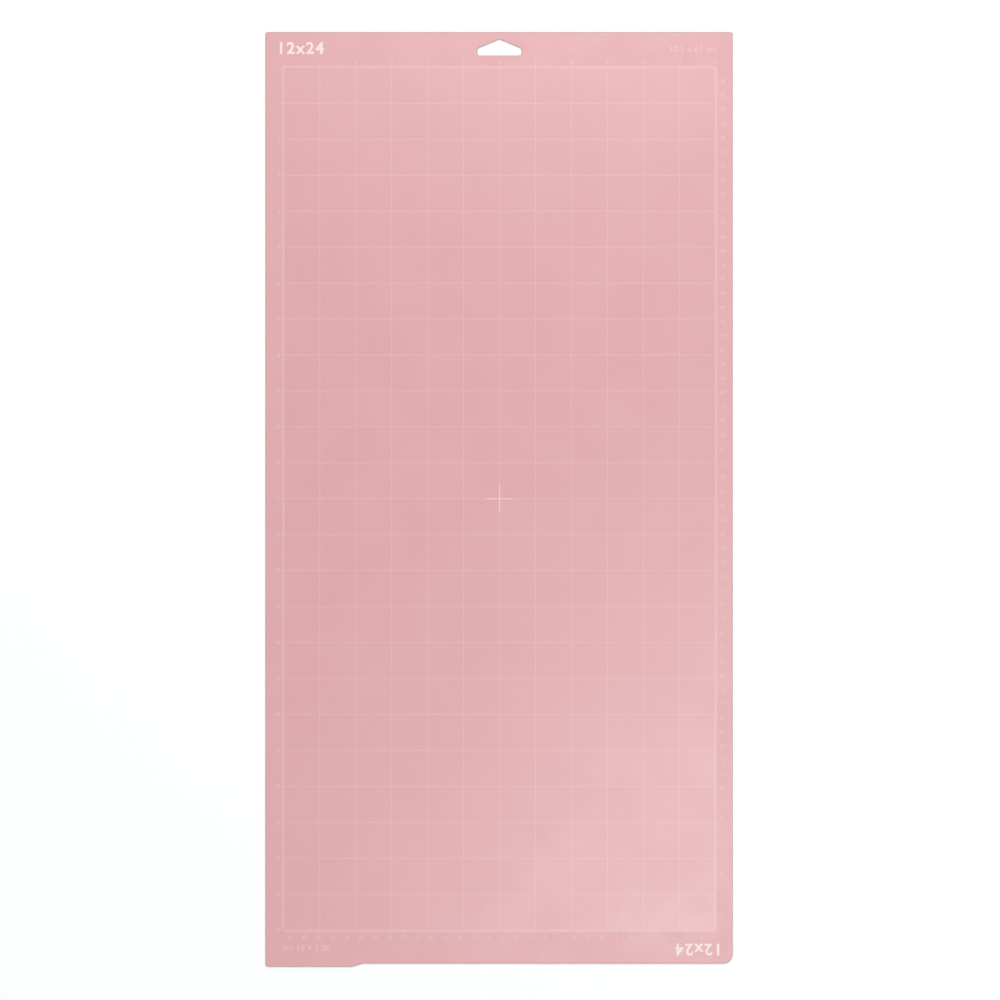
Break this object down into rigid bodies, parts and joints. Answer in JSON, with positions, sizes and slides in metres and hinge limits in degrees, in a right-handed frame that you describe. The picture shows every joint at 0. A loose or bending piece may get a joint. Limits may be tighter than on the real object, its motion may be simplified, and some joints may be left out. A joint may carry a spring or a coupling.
{
  "type": "self healing mat",
  "caption": "Thin rectangular cutting mat with a hang slot in one short edge, bonded plies, a tacky working face and a printed inch grid with inch and centimetre rulers.",
  "frame": {"origin": "centre of the bounding rectangle on the underside of the mat, where it rests", "axes": "+Z out of the printed working face, +Y along the mat's length towards the edge with the hang slot, +X to the right when the print is read with the hang slot at the top"},
  "size_m": [0.3302, 0.6604, 0.0015],
  "materials": {
    "skin": "satin",
    "core": "matte",
    "coat": "satin",
    "bold_ink": "matte",
    "faint_ink": "matte"
  },
  "bodies": {
    "root": {"bottom_skin": "skin", "core_sheet": "core", "top_skin": "skin", "grip_coat": "coat", "centre_cross_print": "bold_ink", "size_mark_top": "bold_ink", "size_mark_bottom": "bold_ink", "grid_print": "faint_ink", "border_print": "faint_ink", "inch_ticks_top": "faint_ink", "inch_ticks_left": "faint_ink", "inch_numerals_top": "faint_ink", "inch_numerals_left": "faint_ink", "cm_ticks_bottom": "faint_ink", "cm_ticks_right": "faint_ink", "cm_numerals_bottom": "faint_ink", "cm_numerals_right": "faint_ink", "metric_mark_top": "faint_ink", "metric_mark_bottom": "faint_ink"}
  },
  "joints": []
}
